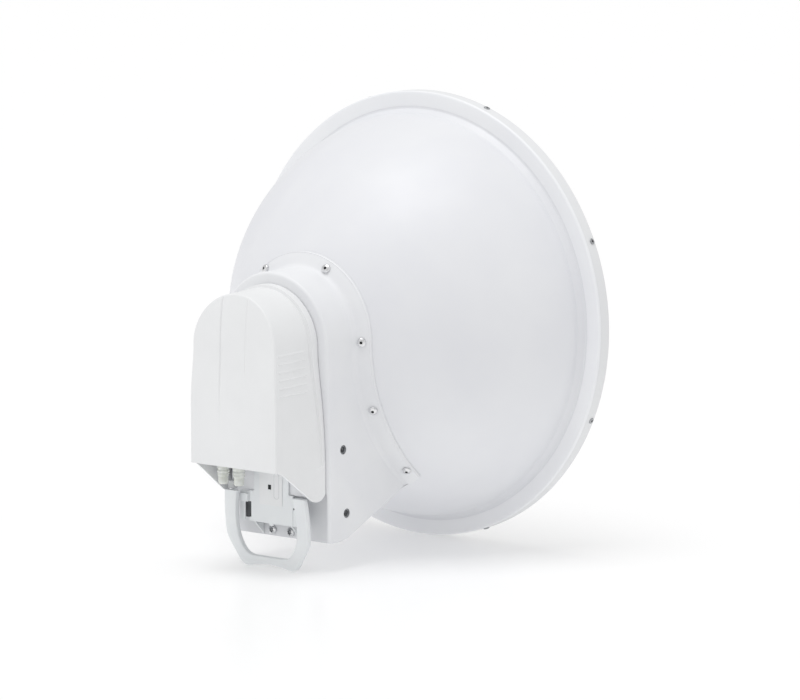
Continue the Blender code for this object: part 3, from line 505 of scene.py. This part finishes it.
def add_housing():
    """The housing: a section of back rim, rounded edge, wall, fillet and flange, which is
    carried round its tombstone outline and lies down on the bowl.

    Each line of the section is an (offset, rule, lift) for housing_column.
    """
    sides = np.concatenate([np.linspace(0, 0.9, 40), np.linspace(0.91, 1, 8)])
    side, share = outline_rows(np.linspace(math.pi, 0.0, 99)[1:-1], sides)
    inner_back = 0.0064

    def at(value):
        return lambda z: value + 0.0 * z

    def flange(part):
        return lambda z: part * (FLANGE_REACH - housing_half_width(z))

    def mouth(z):
        return -np.interp(z, (-0.215, -0.208, -0.150, 0.0), (0.0055, 0.0095, 0.0095, 0.0220))

    def ledge(z):
        return 0.5 * (mouth(z) - HOUSING_EDGE)

    def back(depth):
        return lambda x, z: housing_back(z) + depth

    def on_bowl(out):
        def rule(x, z):
            radius = np.hypot(x, z)
            return bowl_y(radius) - out * np.sqrt(1.0 + bowl_slope(radius) ** 2)
        return rule

    top, bed = on_bowl(FLANGE_SKIN), on_bowl(0.0003)

    def above_flange(drop):
        return lambda x, z: top(x, z) - drop

    def outer_wall(part):
        def rule(x, z):
            start, stop = housing_back(z) + HOUSING_EDGE, top(x, z) - HOUSING_FILLET
            return start + part * (stop - start)
        return rule

    def inner_wall(part):
        def rule(x, z):
            start = housing_back(z) + inner_back
            return start + part * (bed(x, z) - start)
        return rule

    outer = [(mouth, back(0.0), 0.0), (ledge, back(0.0), 0.0)]
    outer += [(at(HOUSING_EDGE * (math.sin(a) - 1)), back(HOUSING_EDGE * (1 - math.cos(a))), 0.0)
              for a in np.radians(np.linspace(0, 90, 8))]
    outer += [(at(0.0), outer_wall(part), 0.0) for part in np.linspace(0, 1, 9)[1:-1]]
    outer += [(at(HOUSING_FILLET * (1 - math.cos(a))),
               above_flange(HOUSING_FILLET * (1 - math.sin(a))), 0.0)
              for a in np.radians(np.linspace(0, 84, 10))]
    # The flange, with a low bead near its edge: (part of its reach, height)
    bead = ((0.45, 0.0), (0.60, 0.0), (0.75, 0.0), (0.88, 0.0), (0.935, 0.0), (0.950, 0.0003),
            (0.966, 0.0005), (0.982, 0.0004), (0.995, -0.0002), (1.0, -0.0010), (1.0, -0.0022))
    outer += [(flange(part), on_bowl(FLANGE_SKIN + height), FLANGE_LIFT * part * part)
              for part, height in bead]

    # The inner face has as many lines as the outer one, so its corner is repeated
    inner = [(mouth, back(HOUSING_WALL), 0.0), (ledge, back(HOUSING_WALL), 0.0),
             (at(-HOUSING_EDGE), back(HOUSING_WALL), 0.0)]
    inner += [(at(-HOUSING_WALL), back(0.0062), 0.0)] * 6
    inner += [(at(-HOUSING_WALL), back(inner_back), 0.0)]
    inner += [(at(-HOUSING_WALL), inner_wall(part), 0.0)
              for part in np.linspace(0, 1, len(outer) - len(inner) - 10)]
    inner += [(flange(part), bed, FLANGE_LIFT * part * part)
              for part in np.linspace(0.0, 1.0, len(outer) - len(inner))]

    points = np.stack([np.stack([housing_column(side, share, *line) for line in lines], 1)
                       for lines in (outer, inner)])
    piece = add_piece("rear_housing", points, wall_faces(*points.shape[1:3]), [moulded_asa],
                      ["housing_shell"])
    cut_bolt_holes(piece)
    add_bushes()


def cut_bolt_holes(piece):
    """Round holes in both side walls, cut with four rods."""
    rods = bmesh.new()
    for side in (1, -1):
        for y, z in BOLT_HOLES:
            place = Matrix.Translation(Vector((side * BOLT_WALL, y, z)) + Vector(ORIGIN))
            bmesh.ops.create_cone(rods, cap_ends=True, segments=64, radius1=BOLT_RADIUS,
                                  radius2=BOLT_RADIUS, depth=0.020,
                                  matrix=place @ Matrix.Rotation(math.pi / 2, 4, "Y"))
    rod_mesh = bpy.data.meshes.new("hole_rods")
    rods.to_mesh(rod_mesh)
    rods.free()
    tool = bpy.data.objects.new("hole_rods", rod_mesh)
    bpy.context.scene.collection.objects.link(tool)
    cut = piece.modifiers.new("holes", "BOOLEAN")
    cut.operation = "DIFFERENCE"
    cut.solver = "EXACT"
    cut.object = tool
    bpy.context.view_layer.update()
    evaluated = piece.evaluated_get(bpy.context.evaluated_depsgraph_get())
    made = bpy.data.meshes.new_from_object(evaluated)
    piece.modifiers.clear()
    piece.data = made
    made.name = piece.name
    bpy.data.objects.remove(tool, do_unlink=True)


def add_bushes():
    """A blind socket behind each bolt hole, and a threaded bush in it. Both are turned from
    profiles of (radius, depth below the wall's face)."""
    wide = BOLT_RADIUS + 0.0022
    socket = [(0.0, -0.0125), (wide, -0.0125), (wide, -0.0042), (BOLT_RADIUS, -0.0042),
              (BOLT_RADIUS, -0.0118), (0.0, -0.0118)]
    bush = [(0.0066, -0.0116), (0.0066, -0.0005), (0.0061, -0.0003), (0.0056, -0.0016),
            (0.0044, -0.0016)]
    thread = np.linspace(0.0, 1.0, 33)
    turns, thread_radius, thread_height = 6, 0.0040, 0.0003
    bush += list(zip(thread_radius + thread_height * np.cos(thread * 2 * math.pi * turns),
                     -0.0046 - 0.0068 * thread))
    inserts = [f"side_insert_{word}_{i}" for word in ("left", "right") for i in (1, 2)]
    for name, profile, wrap, material, slot, replaced in (
            ("side_sockets", socket, False, moulded_asa, "moulded_white", []),
            ("side_bushes", bush, True, bush_plate, "stainless", inserts)):
        ring = turned(profile, 48)
        copies = [np.stack([side * (BOLT_WALL + ring[..., 1]), y + ring[..., 0],
                            z + side * ring[..., 2]], -1)
                  for side in (1, -1) for y, z in BOLT_HOLES]
        faces = grid_faces(*ring.shape[:2], wrap_rows=True, wrap_columns=wrap)
        add_piece(name, np.stack(copies), repeat_faces(faces, copies), [material], replaced)


def face_groove(x, z):
    """Depth of the face's two soft upright grooves: bells across, which fade out downwards."""
    return sum(depth * (1 - ease((-z - 0.010) / reach)) * np.exp(-((x - at) / 0.0012) ** 2)
               for at, depth, reach in zip(FACE_GROOVES, (0.0016, 0.0007), (0.150, 0.060)))


def cover_reach(inset, r):
    """Y of the face's edge, of the lip and of the back edge, at the height of the face's foot."""
    low = np.array(COVER_LOW)
    return float(cover_face(low)) + inset + r, float(lip_start(low)), float(cover_back(low))


def cover_ring(side, share, kind, value, inset, r):
    """One line round the cover, on its outside or inset from it.

    kind tells the rounded corner of radius r, where value is an angle, from the side wall,
    where value is the line's y on the lower edge. A side line keeps its share of the way
    from face to lip, or from lip to back edge, at every height.
    """
    start, lip, end = cover_reach(inset, r)
    arch = side == 0
    foot = float(cover_bottom(np.array(value))) if kind == "side" else COVER_LOW
    z = np.where(arch, 0.0, share * foot)
    # On the arch z depends on the width and the width on z, so they are found by substitution
    for _ in range(9):
        first = cover_face(z) + inset + r
        back = np.zeros_like(z)
        if kind == "round":
            y = first - r * math.cos(value)
            back = back + r * (1 - math.sin(value))
        elif value <= lip:
            y = first + (value - start) / (lip - start) * (lip_start(z) - first)
        else:
            y = lip_start(z) + (value - lip) / (end - lip) * (cover_back(z) - lip_start(z))
        width = cover_half_width(y, z) - inset - back
        if kind == "side":
            # The lip rises behind a fine groove and is rounded at the back edge
            into = y - lip_start(z)
            left = cover_back(z) - y
            rise = (0.0040 - 0.0026 * how_low(z)) * ease((into - 0.0004) / 0.0018)
            groove = 0.0007 * np.exp(-((into + 0.0003) / 0.0009) ** 2)
            worn = 0.0006 * np.clip((0.0010 - left) / 0.0010, 0, 1) ** 2
            # Below its end the side spreads into the lug
            lug = 0.105 * np.maximum(y + 0.369, 0.0)
            fade = np.where(arch, 1.0, 1.0 - ease((share - 0.780) / 0.012))
            outside = inset == 0
            width = width + fade * (rise - groove * outside) + (1 - fade) * lug - worn * outside
        z = np.where(arch, width * np.sin(share), z)
    x = np.where(arch, width * np.cos(share), side * width)
    if kind == "round" and inset == 0:
        y = y + face_groove(x, z) * math.cos(value)
    return np.stack([x, y, z], -1)


def add_cover():
    """The tombstone-shaped cover: a face whose grid stands upright, and a ring of corner,
    side wall and lip that shares its border with the face."""
    sides = np.concatenate([np.arange(0.0, 0.375, 0.0046), np.linspace(0.38, 0.76, 16),
                            np.linspace(0.772, 0.80, 12), np.linspace(0.81, 1.0, 16)])
    # More stations on the arch where the face's grooves meet it
    near = np.add.outer(FACE_GROOVES, np.linspace(-0.0024, 0.0024, 13)).ravel()
    turn = np.concatenate([np.linspace(math.pi, 0.0, 113)[1:-1], np.arccos(near / COVER_RADIUS)])
    side, share = outline_rows(np.sort(turn)[::-1], sides)
    grids = []
    for inset in (0.0, COVER_WALL):
        r = max(COVER_EDGE - inset, 0.0010)
        start, lip, end = cover_reach(inset, r)
        knots = np.concatenate([
            np.linspace(start, -0.4300, 8)[1:], np.linspace(-0.4280, LUG_START, 20),
            np.linspace(LUG_START + 0.0020, lip - 0.0030, 9),
            np.linspace(lip - 0.0020, lip + 0.0028, 17),
            np.linspace(lip + 0.0034, end - 0.0012, 6), np.linspace(end - 0.0009, end, 4)])
        lines = [("round", a) for a in np.radians(np.linspace(0, 90, 8))]
        lines += [("side", float(y)) for y in knots]
        grids.append(np.stack([cover_ring(side, share, *line, inset, r) for line in lines], 1))
    rows, columns = grids[0].shape[:2]
    ring_count = rows * columns
    ring_faces = grid_faces(rows, columns)
    front = np.arange(ring_count).reshape(rows, columns)
    edge = np.concatenate([front[0, :], front[1:, -1], front[-1, -2::-1]])
    border = np.stack([edge[:-1], edge[:-1] + ring_count, edge[1:] + ring_count, edge[1:]], -1)
    faces = [ring_faces, ring_faces[:, ::-1] + ring_count, border]
    points = [grid.reshape(-1, 3) for grid in grids]

    # The face: upright columns under the points of the arch, rows as on the sides
    total, feet = 2 * ring_count, []
    for inset, grid in zip((0.0, COVER_WALL), grids):
        left = grid[side < 0, 0]
        right = grid[side > 0, 0][::-1]
        top = np.concatenate([left[-1:], grid[side == 0, 0], right[-1:]])
        share_across = ((top[:, 0] - top[0, 0]) / (top[-1, 0] - top[0, 0]))[None, :]
        base_z = left[:, 2][:, None]
        part = (base_z - base_z[0]) / (base_z[-1] - base_z[0])
        z = base_z[0] + part * (top[None, :, 2] - base_z[0])
        x = left[:, 0][:, None] + share_across * (right[:, 0] - left[:, 0])[:, None]
        y = cover_face(z) + inset + (inset == 0) * face_groove(x, z)
        points.append(np.stack([x, y, z], -1).reshape(-1, 3))
        quads = grid_faces(*x.shape) + total
        faces.append(quads if inset == 0 else quads[:, ::-1])
        feet.append(total + np.arange(x.shape[1]))
        total += x.size
    outer, inner = feet
    faces.append(np.stack([outer[:-1], outer[1:], inner[1:], inner[:-1]], -1))
    add_piece("radio_cover_shell", np.concatenate(points), np.concatenate(faces), [cover_asa],
              ["radio_cover"], angle=38)


def add_louvres():
    """Six ridges on each side of the cover: a wedge section of (drop, height) that is carried
    along a nearly level line, swells out of the wall and sinks back into it."""
    wedge = ((0.0034, -0.0003), (0.0022, 0.00022), (0.0011, 0.00062), (0.0003, 0.00098),
             (-0.0002, 0.00096), (-0.0007, 0.0003), (-0.0009, -0.0003), (0.0010, -0.0008))
    drop, height = np.array(wedge).T
    y = np.linspace(RIDGE_START, RIDGE_END, 48)[:, None]
    swell = ease((y - RIDGE_START) / 0.003) * (1 - ease((y - RIDGE_END + 0.0090) / 0.0085))
    raised = height * np.maximum(swell, 0.25) - 0.0009 * (1 - swell)
    tubes = []
    for side in (1, -1):
        for at in RIDGE_HEIGHTS:
            z = at + 0.028 * (y - RIDGE_START - 0.0030) + drop
            tube = np.stack([side * (cover_half_width(y, z) + raised), y + 0 * z, z], -1)
            ends = tube[[0, -1]].mean(1, keepdims=True).repeat(len(drop), 1)
            tubes.append(np.concatenate([ends[:1], tube, ends[1:]]))
    faces = grid_faces(*tubes[0].shape[:2], wrap_columns=True)
    add_piece("cover_louvres", np.stack(tubes), repeat_faces(faces, tubes), [cover_asa],
              angle=70)


def along(points, count, sigma):
    """Points spaced evenly along a line, and softened with a bell of width sigma."""
    points = np.asarray(points, float)
    length = np.concatenate([[0.0], np.cumsum(np.hypot(*np.diff(points, axis=0).T))])
    steps = np.linspace(0.0, length[-1], 900)
    dense = np.stack([np.interp(steps, length, points[:, k]) for k in (0, 1)], -1)
    reach = int(3 * sigma / steps[1]) + 1
    bell = np.exp(-0.5 * (np.arange(-reach, reach + 1) * steps[1] / sigma) ** 2)
    bell /= bell.sum()
    before = 2 * dense[0] - dense[reach:0:-1]
    after = 2 * dense[-1] - dense[-2:-reach - 2:-1]
    padded = np.concatenate([before, dense, after])
    soft = np.stack([np.convolve(padded[:, k], bell, "valid") for k in (0, 1)], -1)
    pick = np.linspace(0, len(soft) - 1, count)
    return np.stack([np.interp(pick, np.arange(len(soft)), soft[:, k]) for k in (0, 1)], -1)


def add_block(name, centre, size, edge, material):
    """A box with rounded edges, from the signs of its eight corners."""
    corner = np.array([(x, y, z) for x in (-1, 1) for y in (-1, 1) for z in (-1, 1)], float)
    faces = [(0, 1, 3, 2), (4, 6, 7, 5), (0, 4, 5, 1), (2, 3, 7, 6), (0, 2, 6, 4), (1, 5, 7, 3)]
    points = np.array(centre) + corner * np.array(size) / 2
    add_bevel(add_piece(name, points, faces, [material], angle=30), edge)


def add_plate(name, outline, front, back, edge, material, replaced=()):
    """A flat outline of (x, z) points, made solid between two depths, with rounded edges."""
    outline = np.asarray(outline, float)
    count = len(outline)
    points = np.concatenate([np.stack([outline[:, 0], np.full(count, y), outline[:, 1]], -1)
                             for y in (front, back)])
    ring = np.arange(count)
    on = (ring + 1) % count
    faces = [tuple(ring.tolist()), tuple((ring[::-1] + count).tolist())]
    faces += np.stack([ring, on, on + count, ring + count], -1).tolist()
    add_bevel(add_piece(name, points, faces, [material], replaced, angle=30), edge)


def rounded_outline(low, high, radius, count=6):
    """Outline of a rectangle with round corners, as (x, z) points."""
    points = []
    for x_sign, z_sign, start in ((1, 1, 0), (-1, 1, 90), (-1, -1, 180), (1, -1, 270)):
        x = (high if x_sign > 0 else low)[0] - radius * x_sign
        z = (high if z_sign > 0 else low)[1] - radius * z_sign
        points += bend((x, z), radius, start, start + 90, count)
    return points


def add_handle():
    """The handle: a superellipse section between an outer and an inner U, which leans
    forward as it goes down, and a short web from each arm to the slide."""
    outer = [(0.0738, -0.2178), (0.0757, -0.2340), (0.0762, -0.2480), (0.0762, -0.2700),
             (0.0750, -0.2820), (0.0712, -0.2905), (0.0590, -0.3090), (0.0545, -0.3165),
             (0.0505, -0.3212), (0.0450, -0.3245), (0.0380, -0.3250), (0.0250, -0.3220),
             (0.0, -0.3194)]
    inner = [(0.0515, -0.2178), (0.0540, -0.2340), (0.0558, -0.2500), (0.0556, -0.2680),
             (0.0535, -0.2820), (0.0490, -0.2930), (0.0440, -0.3010), (0.0380, -0.3060),
             (0.0300, -0.3086), (0.0, -0.3088)]
    count, around, power = 170, 32, 6.0
    out, into = (along([(-x, z) for x, z in half] + half[-2::-1], count, 0.0022)
                 for half in (outer, inner))
    angle = np.linspace(0.0, 2 * math.pi, around, endpoint=False)[None, :]
    wide = np.sign(np.cos(angle)) * np.abs(np.cos(angle)) ** (2.0 / power)
    deep = np.sign(np.sin(angle)) * np.abs(np.sin(angle)) ** (2.0 / power)
    middle, half = (out + into)[:, None, :] / 2, (out - into)[:, None, :] / 2
    flat = middle + half * wide[..., None]
    y = (HANDLE_FRONT + HANDLE_THICKNESS / 2 * (1 + deep)
         + HANDLE_LEAN * (HANDLE_LEVEL - flat[..., 1]))
    body = np.stack([flat[..., 0], y, flat[..., 1]], -1)
    # Each end is closed by a slightly smaller ring and a point
    tips = body[[0, -1]].mean(1, keepdims=True).repeat(around, 1)
    small = body[[0, -1]] * 0.86 + tips * 0.14
    body = np.concatenate([tips[:1], small[:1], body, small[1:], tips[1:]])
    add_piece("grip_handle", body, grid_faces(*body.shape[:2], wrap_columns=True), [handle_nylon],
              ["pull_handle"], angle=50)
    for word, side in (("right", 1), ("left", -1)):
        add_block(f"handle_web_{word}", (side * 0.0486, -0.3651, -0.2280),
                  (0.0146, 0.0062, 0.0120), 0.0008, handle_nylon)


def add_slide():
    """The slide: a narrow tongue, a wider foot with a thumb tab and a slot on its left, two
    ribs behind it and a wing on each side."""
    tongue, foot, shoulder, bottom, thumb_half = 0.0320, 0.0400, -0.2175, -0.2615, 0.0045
    outline = [(tongue, 0.0500), (tongue, shoulder + 0.002)]
    outline += bend((tongue + 0.002, shoulder + 0.002), 0.002, 180, 270, 5)[1:]
    outline += bend((foot - 0.0012, shoulder - 0.0012), 0.0012, 90, 0, 4)
    outline += bend((foot - 0.0012, bottom + 0.0012), 0.0012, 0, -90, 4)
    outline += bend((0.0, bottom + 0.0006), 0.0042, -8, -172, 13)
    right = [(x, z) for x, z in outline if x > thumb_half]
    thumb = [(x, z) for x, z in outline if x <= thumb_half]
    left = [(-x, z) for x, z in right[::-1]]
    slot = [(-foot, SLOT_LOW), (-SLOT_INNER, SLOT_LOW), (-SLOT_INNER, SLOT_HIGH),
            (-foot, SLOT_HIGH)]
    below = sum(1 for x, z in left if z < SLOT_LOW)
    outline = right + thumb + left[:below] + slot + left[below:]
    add_plate("radio_slide", outline, SLIDE_FACE, SLIDE_FACE + 0.0030, 0.0005, handle_nylon,
              ["carrier_plate"])
    rib = ((-0.3618, -0.2400), (-0.3618, -0.2615), (-0.3404, -0.2828), (-0.3404, -0.2400))
    rib_x, rib_half = 0.0335, 0.001
    for word, side in (("right", 1), ("left", -1)):
        points = [(side * rib_x + half, y, z) for half in (-rib_half, rib_half) for y, z in rib]
        faces = [(0, 1, 2, 3), (7, 6, 5, 4)]
        faces += [(i, (i + 1) % 4, (i + 1) % 4 + 4, i + 4) for i in range(4)]
        piece = add_piece(f"slide_rib_{word}", points, faces, [handle_nylon],
                          angle=30)
        add_bevel(piece, 0.0004, 2)

    # Wings between the slide and the arms: the left one stands round the slot
    edge, reach, low = 0.0403, 0.0565, -0.2610
    shapes = {"right": [(edge, -0.2292), (edge, low), (reach, low), (reach, -0.2292)],
              "left": [(-edge, -0.2190), (-reach, -0.2190), (-reach, low), (-SLOT_OUTER, low),
                       (-SLOT_OUTER, SLOT_HIGH), (-edge, SLOT_HIGH)]}
    for word, shape in shapes.items():
        add_plate(f"slide_wing_{word}", shape, SLIDE_FACE + 0.0002, SLIDE_FACE + 0.0026, 0.0004,
                  handle_nylon)
    # A dark grey block behind the slot: painted shade where the slot's inside is unlit
    add_block("slot_shade_block", (-0.0450, SLIDE_FACE + 0.0046, -0.2448),
              (0.0180, 0.0020, 0.0250), 0.0003, slot_painted_shade)
    # A near-black patch: painted shade in the wing's pin hole
    add_block("wing_pin_hole", (0.0420, SLIDE_FACE + 0.0001, -0.2360),
              (0.0018, 0.0006, 0.0028), 0.0002, recess_painted_shade)
    add_label()


def add_label():
    """The plain label field on the slide, with a pressed outline and a small square socket."""
    back = SLIDE_FACE - 0.0003
    front = back - 0.0004
    add_plate("label_field", rounded_outline((-0.0210, -0.2350), (0.0210, -0.1700), 0.0012), front,
              back, 0.00015, label_film, ["label_plate"])
    # A thin loop: its outline grows and shrinks by half a width round the section
    low, high, half_width = np.array((0.0060, -0.2250)), np.array((0.0150, -0.1885)), 0.00045
    loop = np.array(rounded_outline(low, high, 0.0040, 8))
    centre = loop.mean(0)
    section = np.radians(np.linspace(0, 360, 12, endpoint=False))[None, :]
    growth = np.cos(section)[..., None] * half_width / np.array((0.0045, 0.0205))
    flat = centre + (loop - centre)[:, None, :] * (1 + growth)
    y = front + 0.00035 * np.sin(section) + 0 * flat[..., 0]
    tube = np.stack([flat[..., 0], y, flat[..., 1]], -1)
    add_piece("label_outline", tube, grid_faces(*tube.shape[:2], wrap_rows=True, wrap_columns=True),
              [radio_paint])
    # A near-black square: painted shade in the socket's hollow
    add_block("label_socket", (-0.0020, back - 0.0005, -0.2090), (0.0052, 0.0008, 0.0068), 0.0002,
              recess_painted_shade)


def add_boots():
    """Two silicone boots: a turned sleeve with four soft ribs above a narrower nose."""
    share = np.linspace(0.0, 1.0, 70)
    body = 0.0072 + 0.0013 * ease((share - 0.28) / 0.10)
    ribs = 0.0005 * np.cos(share * 2 * math.pi * 6) * ease((share - 0.40) / 0.05)
    radius = body + ribs - 0.0012 * (1 - ease(share / 0.05))
    profile = [(0.0, 0.0)] + list(zip(radius, share * BOOT_LENGTH)) + [(0.0, BOOT_LENGTH)]
    ring = turned(profile, 48)
    copies = [np.stack([x + ring[..., 0], -0.4000 + ring[..., 2], -0.2050 + ring[..., 1]], -1)
              for x in (-0.0580, -0.0290)]
    faces = grid_faces(*ring.shape[:2], wrap_rows=True)
    add_piece("connector_boots", np.stack(copies), repeat_faces(faces, copies), [boot_silicone],
              ["connector_boot_1", "connector_boot_2"])


def dress_frame():
    """Finishes for the plain pieces that keep their own shape."""
    for material, names in (
            (moulded_asa, ("housing_floor", "back_plate", "radio_base", "radio_shelf")),
            (radio_paint, ("radio_unit", "port_tab"))):
        for name in names:
            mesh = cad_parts[name].data
            mesh.materials.clear()
            mesh.materials.append(material)


def add_studio():
    """Pale floor under the rim, an even white room, a broad light from above and three weak
    ones."""
    scene = bpy.context.scene
    level, half = ORIGIN[2] - RIM_RADIUS - 0.0004, 40
    mesh = bpy.data.meshes.new("studio_floor")
    corners = [(x * half, y * half, level) for x, y in ((-1, -1), (1, -1), (1, 1), (-1, 1))]
    mesh.from_pydata(corners, [], [(0, 1, 2, 3)])
    floor = bpy.data.objects.new("studio_floor", mesh)
    scene.collection.objects.link(floor)
    floor.visible_shadow = False
    # A light table: part of its brightness is its own, so shadows on it stay pale
    white = (1.0, 1.0, 1.0, 1.0)
    paper = bpy.data.materials.new("light_table")
    paper.use_nodes = True
    shader = paper.node_tree.nodes["Principled BSDF"]
    shader.inputs["Base Color"].default_value = srgb("E0E0E0")
    shader.inputs["Roughness"].default_value = 0.30
    shader.inputs["Emission Color"].default_value = white
    shader.inputs["Emission Strength"].default_value = 0.21
    mesh.materials.append(paper)

    world = bpy.data.worlds.new("white_room")
    scene.world = world
    world.use_nodes = True
    background = world.node_tree.nodes["Background"]
    background.inputs["Color"].default_value = white
    background.inputs["Strength"].default_value = 0.71

    # A broad light from above, weak ones from behind and from the right, and one that shines
    # up through the table, which casts no shadow: (strength, width in degrees, direction)
    for name, energy, spread, aim in (("overhead_light", 1.24, 38, (0.02, 0.17, -1.0)),
                                      ("rear_light", 0.20, 60, (0.45, 1.0, -0.05)),
                                      ("side_light", 0.13, 50, (-1.0, -0.35, -0.25)),
                                      ("table_light", 0.50, 60, (0.50, 0.10, 0.85))):
        light = bpy.data.lights.new(name, "SUN")
        light.energy = energy
        light.angle = math.radians(spread)
        lamp = bpy.data.objects.new(name, light)
        lamp.rotation_euler = Vector(aim).to_track_quat("-Z", "Y").to_euler()
        scene.collection.objects.link(lamp)
    scene.view_settings.view_transform = "Standard"
    scene.view_settings.look = "None"


def add_camera():
    """The photograph's viewpoint: 38.9 degrees round from behind, 8.75 degrees up, far away."""
    azimuth, elevation, roll = np.radians((38.92, 8.75, -0.06))
    # The distance in metres, the focal length in pixels and the frame's width in pixels
    distance, focal, frame_width = 8.740, 6000.0, 800.0
    right = np.array((math.cos(azimuth), math.sin(azimuth), 0.0))
    back = np.array((math.sin(azimuth) * math.cos(elevation),
                     -math.cos(azimuth) * math.cos(elevation), math.sin(elevation)))
    up = np.cross(back, right)
    # The rim's middle lies this many pixels right of and above the middle of the frame
    aside, above = 31.70, 38.27
    place = distance * (back - right * aside / focal - up * above / focal) + ORIGIN
    camera = bpy.data.cameras.new("photo_camera")
    camera.sensor_width = 36.0
    camera.lens = focal * camera.sensor_width / frame_width
    camera.clip_end = 100.0
    item = bpy.data.objects.new("photo_camera", camera)
    turn = Matrix([right.tolist(), up.tolist(), back.tolist()]).transposed().to_4x4()
    item.matrix_world = Matrix.Translation(place) @ turn @ Matrix.Rotation(roll, 4, "Z")
    bpy.context.scene.collection.objects.link(item)
    bpy.context.scene.camera = item


add_camera()
add_reflector()
add_radome()
add_housing()
add_cover()
add_louvres()
add_slide()
add_handle()
add_boots()
add_all_screws()
dress_frame()
add_studio()

bpy.context.view_layer.update()
